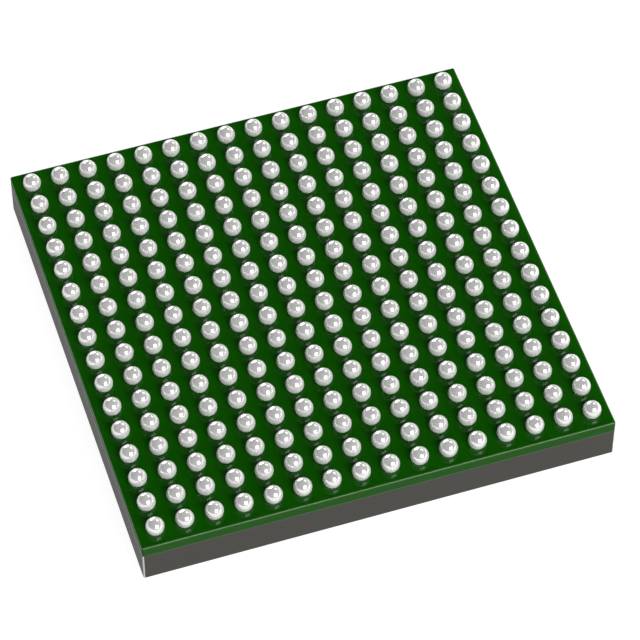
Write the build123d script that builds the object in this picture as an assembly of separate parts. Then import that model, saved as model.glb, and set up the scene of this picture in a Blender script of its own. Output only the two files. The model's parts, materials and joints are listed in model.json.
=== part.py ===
from build123d import *
import math
import os

# A microcontroller in a moulded ball grid array package, lying on its marking face with its balls up.
# The origin is the centre of the marking face. +Z points from it to the balls. Row A is the far row, at +Y,
# and column 1 is the right one, at +X, as the ball side is drawn with its A1 corner at the top right.
# Sizes are in millimetres.

# Balls and their lands
ball_rows = 16
ball_columns = 16
ball_pitch = 0.80
ball_standoff = 0.40          # mask surface to the top of a ball
opening_diameter = 0.40       # opening in the mask, which the solder fills
land_overlap = 0.05           # the land reaches this far under the mask all round its opening
copper_thickness = 0.015

# Body
edge_margin = 0.50            # body edge to the centres of the outer balls
mould_height = 0.97           # marking face to the seam with the laminate
corner_round = 0.05           # the body's four upright edges
core_thickness = 0.30
mask_cover = 0.015            # solder mask over the copper
mask_edge_round = 0.025       # the rim of the ball side
largest_round = 0.9           # the most of a wall that a round at its edge takes
index_diameter = 1.0          # round dimple in the marking face at corner A1
index_depth = 0.06
index_inset = 1.3             # from each edge to the dimple's centre

# Die and its wires
die_length = 6.0              # along X
die_width = 6.0               # along Y
die_thickness = 0.28
film_thickness = 0.03
film_border = 0.10            # adhesive squeezed out all round the die
wires_per_side = 32
wire_diameter = 0.03
wire_loop = 0.14              # rise of a wire above the die's face
wire_bend = 0.05              # the loop's top is cut across its corner this far along both runs
bond_diameter = 0.07          # the ball that the wire starts with, pressed flat on its pad
bond_height = 0.015
pad_inset = 0.10              # die edge to the middle of a wire's foot
pad_corner = 0.35             # die corner to the first pad of a side
finger_width = 0.11
finger_length = 0.32
finger_gap = 1.15             # die edge to the near end of the fingers
window_border = 0.09          # fingers to the edge of their window in the mask, all round
window_spacing = 0.50         # between the windows of neighbouring sides

# Sizes that follow
body_length = (ball_columns - 1) * ball_pitch + 2 * edge_margin
body_width = (ball_rows - 1) * ball_pitch + 2 * edge_margin
mask_thickness = copper_thickness + mask_cover
opening_radius = opening_diameter / 2
land_radius = opening_radius + land_overlap
ball_radius = (opening_radius**2 + ball_standoff**2) / (2 * ball_standoff)
ball_centre = ball_standoff - ball_radius        # above the mask

# Levels, from the marking face up
seam = mould_height                              # cap meets mask
core_low = seam + mask_thickness                 # die side of the laminate
core_high = core_low + core_thickness            # ball side of the laminate
land_top = core_high + copper_thickness
mask_top = core_high + mask_thickness
finger_face = core_low - copper_thickness        # a wire lands here
die_back = seam - film_thickness
die_face = die_back - die_thickness

ROW_LETTERS = "abcdefghjklmnprtuvwy"             # the letters that ball rows use
SIDES = {"front": 0, "right": 90, "back": 180, "left": 270}   # turn of each side about Z


def block(length, width, low, high):
    """A plain block between two levels, centred on the axis."""
    return Pos(0, 0, (low + high) / 2) * Box(length, width, high - low)


def body_slice(low, high):
    """The body's whole outline between two levels."""
    outline = RectangleRounded(body_length, body_width, corner_round)
    return extrude(Pos(0, 0, low) * outline, high - low)


def ball_places():
    """Row by row from A, the place of every ball, column 1 first."""
    far = (ball_rows - 1) / 2 * ball_pitch
    right = (ball_columns - 1) / 2 * ball_pitch
    return [
        [(right - column * ball_pitch, far - row * ball_pitch) for column in range(ball_columns)]
        for row in range(ball_rows)
    ]


def row_name(number):
    """The letters of one row of balls. After Y they go on with AA."""
    turn, place = divmod(number, len(ROW_LETTERS))
    first = ROW_LETTERS[turn - 1] if turn else ""
    return first + ROW_LETTERS[place]


def solder_ball():
    """One reflowed ball: a cap of a sphere that rises from the rim of its opening, and its foot on the land."""
    rim = math.degrees(math.asin(ball_centre / ball_radius))
    foot = -mask_cover
    with BuildPart() as ball:
        with BuildSketch(Plane.XZ):
            with BuildLine():
                CenterArc((0, ball_centre), ball_radius, -rim, 90 + rim)
                Polyline((0, ball_standoff), (0, foot), (opening_radius, foot), (opening_radius, 0))
            make_face()
        revolve(axis=Axis.Z)
    return ball.part.solid()


def solder_balls():
    """The rows of balls, each a node of its own."""
    ball = solder_ball()
    rows = {}
    for number, places in enumerate(ball_places()):
        balls = [Pos(x, y, mask_top) * ball for x, y in places]
        rows[f"solder_balls_row_{row_name(number)}"] = Compound(balls)
    return rows


def ball_lands():
    """Round copper lands on the ball side of the laminate."""
    land = Pos(0, 0, core_high + copper_thickness / 2) * Cylinder(land_radius, copper_thickness)
    return Compound([Pos(x, y, 0) * land.solid() for row in ball_places() for x, y in row])


def ball_side_mask():
    """The solder mask of the ball side: it covers the rim of each land and leaves a round opening in it."""
    spots = [place for row in ball_places() for place in row]
    sheet = body_slice(core_high, mask_top)
    rim_round = min(mask_edge_round, largest_round * mask_thickness, largest_round * corner_round)
    sheet = fillet(sheet.edges().group_by(Axis.Z)[-1], rim_round)
    with BuildPart() as mask:
        add(sheet)
        with BuildSketch(Plane.XY.offset(land_top)):
            with Locations(*spots):
                Circle(opening_radius)
        extrude(amount=mask_cover, mode=Mode.SUBTRACT)
        with BuildSketch(Plane.XY.offset(core_high)):
            with Locations(*spots):
                Circle(land_radius)
        extrude(amount=copper_thickness, mode=Mode.SUBTRACT)
    return mask.part


def laminate_core():
    return body_slice(core_low, core_high)


def along(side):
    """Length of the die along one side."""
    return die_length if side in ("front", "back") else die_width


def across(side):
    """Size of the die square to that side."""
    return die_width if side in ("front", "back") else die_length


def spread(half_length):
    """Even places for a side's wires over a row of this half length, centred."""
    step = 2 * half_length / (wires_per_side - 1)
    return [number * step - half_length for number in range(wires_per_side)]


def pad_places(side):
    return spread(along(side) / 2 - pad_corner)


def finger_reach(side):
    """Half the length of a row of fingers. Its window ends short of the windows of the neighbouring sides."""
    return along(side) / 2 + finger_gap - 2 * window_border - window_spacing


def finger_places(side):
    return spread(finger_reach(side) - finger_width / 2)


def finger_middle(side):
    """Distance from the axis to the middle of a side's fingers."""
    return across(side) / 2 + finger_gap + finger_length / 2


def on_side(shape, side):
    return Rot(0, 0, SIDES[side]) * shape


def bond_fingers(side):
    """Copper fingers on the die side of the laminate, where a side's wires end."""
    level = (finger_face + core_low) / 2
    finger = Box(finger_width, finger_length, copper_thickness).solid()
    places = [(x, -finger_middle(side), level) for x in finger_places(side)]
    return Compound([on_side(Pos(*place) * finger, side) for place in places])


def mask_window(side):
    """The opening in the die side's mask round one row of fingers."""
    length = 2 * (finger_reach(side) + window_border)
    width = finger_length + 2 * window_border
    window = Pos(0, -finger_middle(side), (seam + core_low) / 2) * Box(length, width, mask_thickness)
    return on_side(window, side)


def die_side_mask(windows):
    return body_slice(seam, core_low) - windows


def bond_wire(pad_x, pad_y, finger_x, finger_y):
    """One wire from its bond on the die, up its neck, over and down to its finger, where it is cut off flush."""
    foot = Vector(pad_x, pad_y, die_face)
    apex = Vector(pad_x, pad_y, die_face - wire_loop)
    end = Vector(finger_x, finger_y, finger_face)
    fall = (end - apex).normalized()
    neck = apex + Vector(0, 0, wire_bend)
    shoulder = apex + fall * wire_bend
    past = end + fall * finger_length / 2
    start = Plane(origin=foot, z_dir=(0, 0, -1))
    path = Polyline(foot, neck, shoulder, past)
    wire = sweep(start * Circle(wire_diameter / 2), path=path, transition=Transition.RIGHT)
    bond = Pos(pad_x, pad_y, die_face - bond_height / 2) * Cylinder(bond_diameter / 2, bond_height)
    beyond = Pos(finger_x, finger_y, finger_face + finger_length / 2) * Box(*[finger_length] * 3)
    return (wire + bond - beyond).solid()


def bond_wires(side):
    """The wires of one side, fanned out from the die's pads to the fingers."""
    pad_y = pad_inset - across(side) / 2
    finger_y = -finger_middle(side)
    ends = zip(pad_places(side), finger_places(side))
    wires = [bond_wire(pad_x, pad_y, finger_x, finger_y) for pad_x, finger_x in ends]
    return Compound([on_side(wire, side) for wire in wires])


def die():
    return block(die_length, die_width, die_face, die_back)


def die_attach_film():
    return block(die_length + 2 * film_border, die_width + 2 * film_border, die_back, seam)


def mould_cap(windows, inner):
    """The moulded cap. It is cast round the die and its wires and fills the windows of the mask."""
    cap = body_slice(0, seam)
    index_x = body_length / 2 - index_inset
    index_y = body_width / 2 - index_inset
    dimple = Pos(index_x, index_y, index_depth / 2) * Cylinder(index_diameter / 2, index_depth)
    return (cap + windows) - [dimple, *inner]


def main():
    windows = [mask_window(side) for side in SIDES]
    fingers = {f"bond_fingers_{side}": bond_fingers(side) for side in SIDES}
    wires = {f"bond_wires_{side}": bond_wires(side) for side in SIDES}
    inner = [die(), die_attach_film()]
    for group in (*fingers.values(), *wires.values()):
        inner.extend(group.solids())
    nodes = {
        "mould_cap": mould_cap(windows, inner),
        "die": die(),
        "die_attach_film": die_attach_film(),
        "solder_mask_die_side": die_side_mask(windows),
        "laminate_core": laminate_core(),
        "ball_lands": ball_lands(),
        "solder_mask_ball_side": ball_side_mask(),
        **fingers,
        **wires,
        **solder_balls(),
    }
    os.makedirs("parts", exist_ok=True)
    for name, shape in nodes.items():
        export_step(shape, f"parts/{name}.step")


main()
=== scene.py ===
import json
import math

import bpy
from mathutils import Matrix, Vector


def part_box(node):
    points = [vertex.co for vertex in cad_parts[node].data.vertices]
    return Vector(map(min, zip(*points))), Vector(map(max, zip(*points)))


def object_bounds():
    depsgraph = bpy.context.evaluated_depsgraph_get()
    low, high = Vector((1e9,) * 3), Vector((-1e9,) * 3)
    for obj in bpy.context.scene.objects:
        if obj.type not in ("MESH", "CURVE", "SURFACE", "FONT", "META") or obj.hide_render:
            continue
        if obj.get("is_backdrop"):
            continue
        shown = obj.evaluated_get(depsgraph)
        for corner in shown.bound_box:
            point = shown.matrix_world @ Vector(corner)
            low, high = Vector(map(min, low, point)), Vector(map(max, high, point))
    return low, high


MM = 0.001
MICRON = 0.001 * MM

# Camera: it looks down on the balls from beyond the front left corner
VIEW_TURN = 17.955               # degrees from straight in front, towards -X
VIEW_HEIGHT = 52.8375            # degrees above the table
VIEW_DISTANCE = 100.16 * MM
VIEW_TARGET = (0.096 * MM, -0.977 * MM)
BALL_RADIUS = 0.25 * MM          # the camera aims this far under the balls' tops
LENS = 210.07                    # millimetres, for the sensor below
SENSOR = 36
NEAREST = 1 * MM                 # the camera sees nothing nearer than this
FURTHEST = 10                    # or further than this, in metres

# Studio
FLOOR_SIZE = 1.2
FLOOR_GAP = 0.01 * MM            # the floor lies this far under the part
FLOOR_INSET = 0.1 * MM           # from the part's outline in to the edge of the floor's hole
FLOOR_COLOUR = (0.25, 0.25, 0.25)
FLOOR_ROUGHNESS = 0.9
FLOOR_GLOW = 0.90                # what camera, mirror and see-through rays get on top of the lit card
SKY_HORIZON = (1.0, 1.0, 1.0)
SKY_TOP = (0.02, 0.02, 0.02)
HORIZON_END = 0.11               # sine of the height where the horizon's white starts to fade
TOP_START = 0.22                 # sine of the height where the dark top is reached
SOFTBOX_DISTANCE = 0.30

# Surface
NOISE_LOW, NOISE_HIGH = 0.25, 0.75   # nearly all of the noise lies between these
NOISE_DETAIL = 3.0
OTHER_EDGE_HIGHLIGHT = 0.1                # painted highlight on the other three upright edges, where the near left one has 1
EDGE_HIGHLIGHT_GAIN = 6.0                    # how fast the painted highlight of an upright edge turns fully pale


def deselect():
    bpy.ops.object.select_all(action="DESELECT")


def new_material(name):
    """A material, with its nodes, links and shader."""
    material = bpy.data.materials.new(name)
    material.use_nodes = True
    nodes = material.node_tree.nodes
    return material, nodes, material.node_tree.links, nodes["Principled BSDF"]


def set_values(shader, values):
    """Constants on the shader's own sockets."""
    for label, value in values.items():
        shader.inputs[label].default_value = value


def math_node(nodes, links, kind, *values, clamp=False):
    """A Math node. Each value is a number, or an output that feeds it."""
    node = nodes.new("ShaderNodeMath")
    node.operation = kind
    node.use_clamp = clamp
    for socket, value in zip(node.inputs, values):
        if isinstance(value, (int, float)):
            socket.default_value = value
        else:
            links.new(value, socket)
    return node.outputs[0]


def blend_colours(nodes, links, mask, dark, light):
    """dark where the mask is 0 and light where it is 1. Each is a colour, or an output that gives one."""
    mix = nodes.new("ShaderNodeMix")
    mix.data_type = "RGBA"
    for socket, colour in ((mix.inputs["A"], dark), (mix.inputs["B"], light)):
        if isinstance(colour, tuple):
            socket.default_value = (*colour, 1.0)
        else:
            links.new(colour, socket)
    links.new(mask, mix.inputs["Factor"])
    return mix.outputs["Result"]


def new_group(name, inputs, outputs):
    """An empty node group with float sockets. inputs gives each one's first value."""
    group = bpy.data.node_groups.new(name, "ShaderNodeTree")
    for label, value in inputs.items():
        socket = group.interface.new_socket(label, in_out="INPUT", socket_type="NodeSocketFloat")
        socket.default_value = value
    for label in outputs:
        group.interface.new_socket(label, in_out="OUTPUT", socket_type="NodeSocketFloat")
    given = group.nodes.new("NodeGroupInput").outputs
    result = group.nodes.new("NodeGroupOutput").inputs
    return group, group.nodes, group.links, given, result


def grain_group():
    """Cloudy noise, stretched where its three scales differ. The scales are in cells per millimetre."""
    inputs = {"Along X": 10.0, "Along Y": 10.0, "Along Z": 10.0, "Low": 0.0, "High": 1.0}
    group, nodes, links, given, result = new_group("grain", inputs, ["Value"])
    place = nodes.new("ShaderNodeTexCoord")
    cells = nodes.new("ShaderNodeCombineXYZ")
    for axis in "XYZ":
        links.new(given[f"Along {axis}"], cells.inputs[axis])
    stretch = nodes.new("ShaderNodeVectorMath")
    stretch.operation = "MULTIPLY"
    links.new(place.outputs["Object"], stretch.inputs[0])
    links.new(cells.outputs[0], stretch.inputs[1])
    noise = nodes.new("ShaderNodeTexNoise")
    noise.inputs["Scale"].default_value = 1 / MM
    noise.inputs["Detail"].default_value = NOISE_DETAIL
    links.new(stretch.outputs[0], noise.inputs["Vector"])
    spread = nodes.new("ShaderNodeMapRange")
    spread.inputs["From Min"].default_value = NOISE_LOW
    spread.inputs["From Max"].default_value = NOISE_HIGH
    links.new(noise.outputs["Fac"], spread.inputs["Value"])
    links.new(given["Low"], spread.inputs["To Min"])
    links.new(given["High"], spread.inputs["To Max"])
    links.new(spread.outputs[0], result["Value"])
    return group


def edge_highlight_group(high):
    """Masks for painted highlights along the edges of a body this size, from most on an edge to 0 at its reach, in
    millimetres.
    Of the upright edges the one at -X -Y gets the strongest painted highlight, and of the top's edges only the
    front and right ones get one."""
    inputs = {"Upright Reach": 1.0, "Rim Reach": 1.0}
    group, nodes, links, given, result = new_group("edges", inputs, ["Upright", "Rim"])
    place = nodes.new("ShaderNodeTexCoord")
    split = nodes.new("ShaderNodeSeparateXYZ")
    links.new(place.outputs["Object"], split.inputs[0])
    x, y, z = split.outputs

    def node(kind, *values, clamp=False):
        return math_node(nodes, links, kind, *values, clamp=clamp)

    def fade(distance, reach):
        """1 where the distance is nothing, and 0 from the reach on."""
        return node("SUBTRACT", 1.0, node("DIVIDE", distance, reach), clamp=True)

    inward = [node("DIVIDE", node("SUBTRACT", half, node("ABSOLUTE", across)), MM)
              for across, half in ((x, high.x), (y, high.y))]
    near_left = node("MULTIPLY", node("LESS_THAN", x, 0.0), node("LESS_THAN", y, 0.0))
    # The near left upright edge gets the full painted highlight, the other three a smaller share.
    highlight_share = node("MULTIPLY_ADD", near_left, 1 - OTHER_EDGE_HIGHLIGHT, OTHER_EDGE_HIGHLIGHT)
    links.new(node("MULTIPLY", fade(node("ADD", *inward), given["Upright Reach"]), highlight_share), result["Upright"])
    # Painted highlight along the top's front and right edges only.
    from_right = node("DIVIDE", node("SUBTRACT", high.x, x), MM)
    from_front = node("DIVIDE", node("ADD", high.y, y), MM)
    below = node("DIVIDE", node("SUBTRACT", high.z, z), MM)
    from_rim = node("MAXIMUM", node("MINIMUM", from_right, from_front), below)
    links.new(fade(from_rim, given["Rim Reach"]), result["Rim"])
    return group


def place_group(nodes, group, **values):
    """One use of a node group, with its own values."""
    node = nodes.new("ShaderNodeGroup")
    node.node_tree = group
    for label, value in values.items():
        node.inputs[label.replace("_", " ").title()].default_value = value
    return node.outputs


def grain(nodes, groups, cells, upright=None, low=0.0, high=1.0):
    """Noise from low to high, with so many cells to a millimetre. Upright there may be another number of them."""
    scales = {"along_x": cells, "along_y": cells, "along_z": cells if upright is None else upright}
    return place_group(nodes, groups["grain"], **scales, low=low, high=high)["Value"]


def raise_surface(nodes, links, shader, height, depth):
    """Bumps of this depth in metres, where the height goes from 0 to 1."""
    bump = nodes.new("ShaderNodeBump")
    bump.inputs["Distance"].default_value = depth
    links.new(height, bump.inputs["Height"])
    links.new(bump.outputs["Normal"], shader.inputs["Normal"])


def solder(groups):
    """Reflowed balls: a bright skin over fine, soft grain."""
    material, nodes, links, shader = new_material("reflowed_solder")
    patches = grain(nodes, groups, 14)
    links.new(blend_colours(nodes, links, patches, (0.85, 0.847, 0.835), (0.89, 0.887, 0.875)),
              shader.inputs["Base Color"])
    links.new(grain(nodes, groups, 30, low=0.03, high=0.05), shader.inputs["Roughness"])
    set_values(shader, {"Metallic": 0.34, "Diffuse Roughness": 1.0})
    return material


def solder_mask(groups):
    """Glossy green lacquer, with a painted highlight as a pale band along the front and right rim."""
    material, nodes, links, shader = new_material("solder_mask")
    cloud = grain(nodes, groups, 0.9)
    lacquer = blend_colours(nodes, links, cloud, (0.0040, 0.081, 0.0001), (0.0046, 0.088, 0.0002))
    # A pale band painted along the front and right rim: a painted highlight on the lacquer's rounded edge.
    rim = place_group(nodes, groups["edges"], rim_reach=0.05)["Rim"]
    links.new(blend_colours(nodes, links, rim, lacquer, (0.085, 0.20, 0.065)), shader.inputs["Base Color"])
    links.new(grain(nodes, groups, 3, low=0.04, high=0.06), shader.inputs["Roughness"])
    raise_surface(nodes, links, shader, grain(nodes, groups, 1.6), 0.3 * MICRON)
    set_values(shader, {"Specular IOR Level": 0.45})
    return material


def laminate(groups):
    """The sawn edge of the laminate: layers of glass cloth in resin, with upright saw marks."""
    material, nodes, links, shader = new_material("laminate_edge")
    layers = grain(nodes, groups, 2.5, upright=16)
    links.new(blend_colours(nodes, links, layers, (0.0240, 0.099, 0.0172), (0.0272, 0.115, 0.0192)),
              shader.inputs["Base Color"])
    links.new(grain(nodes, groups, 9, upright=30, low=0.34, high=0.46), shader.inputs["Roughness"])
    raise_surface(nodes, links, shader, grain(nodes, groups, 40, upright=1.5), 0.4 * MICRON)
    set_values(shader, {"Specular IOR Level": 0.012})
    return material


def mould(groups):
    """Dark grey epoxy full of fine silica, with a painted highlight as a pale line along its upright edges."""
    material, nodes, links, shader = new_material("moulding_compound")
    filler = grain(nodes, groups, 45)
    epoxy = blend_colours(nodes, links, filler, (0.0480, 0.0460, 0.0390), (0.0590, 0.0570, 0.0485))
    # A pale line painted along the upright edges, strongest at the near left one: a painted highlight.
    upright_highlight = place_group(nodes, groups["edges"], upright_reach=0.045)["Upright"]
    painted_edge_highlight = math_node(nodes, links, "MULTIPLY", upright_highlight, EDGE_HIGHLIGHT_GAIN, clamp=True)
    links.new(blend_colours(nodes, links, painted_edge_highlight, epoxy, (0.85, 0.85, 0.83)), shader.inputs["Base Color"])
    links.new(grain(nodes, groups, 20, low=0.5, high=0.6), shader.inputs["Roughness"])
    raise_surface(nodes, links, shader, grain(nodes, groups, 30), 0.3 * MICRON)
    set_values(shader, {"Specular IOR Level": 0.25})
    return material


def plain(groups, name, dark, light, metallic, roughness):
    """A finish for a hidden piece: two shades of one colour."""
    material, nodes, links, shader = new_material(name)
    links.new(blend_colours(nodes, links, grain(nodes, groups, 20), dark, light), shader.inputs["Base Color"])
    set_values(shader, {"Metallic": metallic, "Roughness": roughness})
    return material


def dress(frame):
    """Puts the record's material slots on the CAD nodes."""
    high = Vector(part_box("solder_mask_ball_side")[1])
    groups = {"grain": grain_group(), "edges": edge_highlight_group(high)}
    finishes = {
        "mould_compound": mould(groups),
        "laminate": laminate(groups),
        "solder_mask": solder_mask(groups),
        "solder": solder(groups),
        "copper": plain(groups, "bare_copper", (0.55, 0.22, 0.10), (0.62, 0.27, 0.14),
                        metallic=1.0, roughness=0.3),
        "gold": plain(groups, "gold_wire", (0.80, 0.52, 0.12), (0.86, 0.58, 0.16),
                      metallic=1.0, roughness=0.2),
        "silicon": plain(groups, "silicon", (0.06, 0.065, 0.08), (0.08, 0.085, 0.10),
                         metallic=0.6, roughness=0.25),
        "die_adhesive": plain(groups, "die_adhesive", (0.62, 0.58, 0.45), (0.68, 0.64, 0.51),
                              metallic=0.0, roughness=0.6),
    }
    for part in frame["record"]["subparts"]:
        node = frame["nodes"][part["node"]]
        node.data.materials.clear()
        node.data.materials.append(finishes[part["material_slot"]])


def floor_finish():
    """A matt pale card that also glows where it is seen, and that can be looked through from below."""
    material, nodes, links, shader = new_material("floor_card")
    card = {"Base Color": (*FLOOR_COLOUR, 1.0), "Roughness": FLOOR_ROUGHNESS, "Specular IOR Level": 0.0}
    set_values(shader, card)
    rays = nodes.new("ShaderNodeLightPath").outputs
    seen = math_node(nodes, links, "MAXIMUM", rays["Is Camera Ray"], rays["Is Glossy Ray"])
    seen = math_node(nodes, links, "MAXIMUM", seen, rays["Is Transmission Ray"])
    glow = nodes.new("ShaderNodeEmission")
    links.new(math_node(nodes, links, "MULTIPLY", seen, FLOOR_GLOW), glow.inputs["Strength"])
    upper = nodes.new("ShaderNodeAddShader")
    links.new(shader.outputs[0], upper.inputs[0])
    links.new(glow.outputs[0], upper.inputs[1])
    sides = nodes.new("ShaderNodeMixShader")
    links.new(nodes.new("ShaderNodeNewGeometry").outputs["Backfacing"], sides.inputs[0])
    links.new(upper.outputs[0], sides.inputs[1])
    links.new(nodes.new("ShaderNodeBsdfTransparent").outputs[0], sides.inputs[2])
    links.new(sides.outputs[0], nodes["Material Output"].inputs["Surface"])
    return material


def floor():
    """A pale card with a hole under the part, so that the part's underside is lit and seen from below."""
    low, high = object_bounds()
    deselect()
    bpy.ops.mesh.primitive_plane_add(size=FLOOR_SIZE, location=(0, 0, -FLOOR_GAP))
    card = bpy.context.object
    card.name = "floor"
    bpy.ops.object.mode_set(mode="EDIT")
    bpy.ops.mesh.select_all(action="SELECT")
    bpy.ops.mesh.inset(thickness=(FLOOR_SIZE - (high.x - low.x)) / 2 + FLOOR_INSET)
    bpy.ops.mesh.delete(type="FACE")
    bpy.ops.object.mode_set(mode="OBJECT")
    bpy.ops.object.transform_apply(location=True, rotation=True, scale=True)
    card.data.materials.append(floor_finish())
    card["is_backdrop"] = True


def sky():
    """White round the horizon and nearly black above."""
    world = bpy.data.worlds.new("studio")
    bpy.context.scene.world = world
    world.use_nodes = True
    nodes, links = world.node_tree.nodes, world.node_tree.links
    split = nodes.new("ShaderNodeSeparateXYZ")
    links.new(nodes.new("ShaderNodeTexCoord").outputs["Generated"], split.inputs[0])
    ramp = nodes.new("ShaderNodeValToRGB")
    links.new(split.outputs["Z"], ramp.inputs["Fac"])
    links.new(ramp.outputs["Color"], nodes["Background"].inputs["Color"])
    horizon, top = ramp.color_ramp.elements
    horizon.position, horizon.color = HORIZON_END, (*SKY_HORIZON, 1.0)
    top.position, top.color = TOP_START, (*SKY_TOP, 1.0)


def softbox(name, turn, height, width, length, power, tilt=0.0):
    """An area lamp that faces the part. turn is from +Y towards +X, height above the table, in degrees."""
    turn, height = math.radians(turn), math.radians(height)
    way = Vector((math.sin(turn) * math.cos(height), math.cos(turn) * math.cos(height), math.sin(height)))
    lamp = bpy.data.lights.new(name, "AREA")
    lamp.shape = "RECTANGLE"
    lamp.size = width
    lamp.size_y = length
    lamp.energy = power
    holder = bpy.data.objects.new(name, lamp)
    holder.location = way * SOFTBOX_DISTANCE
    holder.rotation_euler = way.to_track_quat("Z", "Y").to_euler()
    holder.rotation_euler.rotate_axis("Z", math.radians(tilt))
    bpy.context.scene.collection.objects.link(holder)


def lights():
    """Three softboxes, each a highlight on every ball, and two low strips that fill the sides."""
    softbox("front_softbox", turn=162, height=38, width=0.205, length=0.215, power=0.8, tilt=-21)
    softbox("back_left_softbox", turn=-5, height=17, width=0.20, length=0.16, power=0.65, tilt=-145)
    softbox("back_right_softbox", turn=45.5, height=40, width=0.14, length=0.10, power=0.14, tilt=-6)
    softbox("right_fill", turn=95, height=8, width=0.50, length=0.11, power=0.15)
    softbox("left_fill", turn=225, height=2, width=0.60, length=0.09, power=0.13)


def camera():
    turn, height = math.radians(VIEW_TURN), math.radians(VIEW_HEIGHT)
    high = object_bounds()[1]
    target = Vector((*VIEW_TARGET, high.z - BALL_RADIUS))
    back = Vector((-math.sin(turn) * math.cos(height), -math.cos(turn) * math.cos(height), math.sin(height)))
    data = bpy.data.cameras.new("camera")
    data.lens = LENS
    data.sensor_width = SENSOR
    data.clip_start = NEAREST
    data.clip_end = FURTHEST
    eye = bpy.data.objects.new("camera", data)
    eye.location = target + back * VIEW_DISTANCE
    eye.rotation_euler = back.to_track_quat("Z", "Y").to_euler()
    bpy.context.scene.collection.objects.link(eye)
    bpy.context.scene.camera = eye


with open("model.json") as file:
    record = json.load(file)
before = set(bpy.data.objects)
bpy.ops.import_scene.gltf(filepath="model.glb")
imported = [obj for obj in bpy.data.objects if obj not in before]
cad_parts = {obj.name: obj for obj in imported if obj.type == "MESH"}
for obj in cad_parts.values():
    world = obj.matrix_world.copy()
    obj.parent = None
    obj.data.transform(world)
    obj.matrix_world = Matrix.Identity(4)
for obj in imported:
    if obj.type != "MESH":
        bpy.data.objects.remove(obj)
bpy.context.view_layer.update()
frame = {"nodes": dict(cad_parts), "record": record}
camera()
dress(frame)
floor()
sky()
lights()
bpy.context.scene.view_settings.view_transform = "Standard"
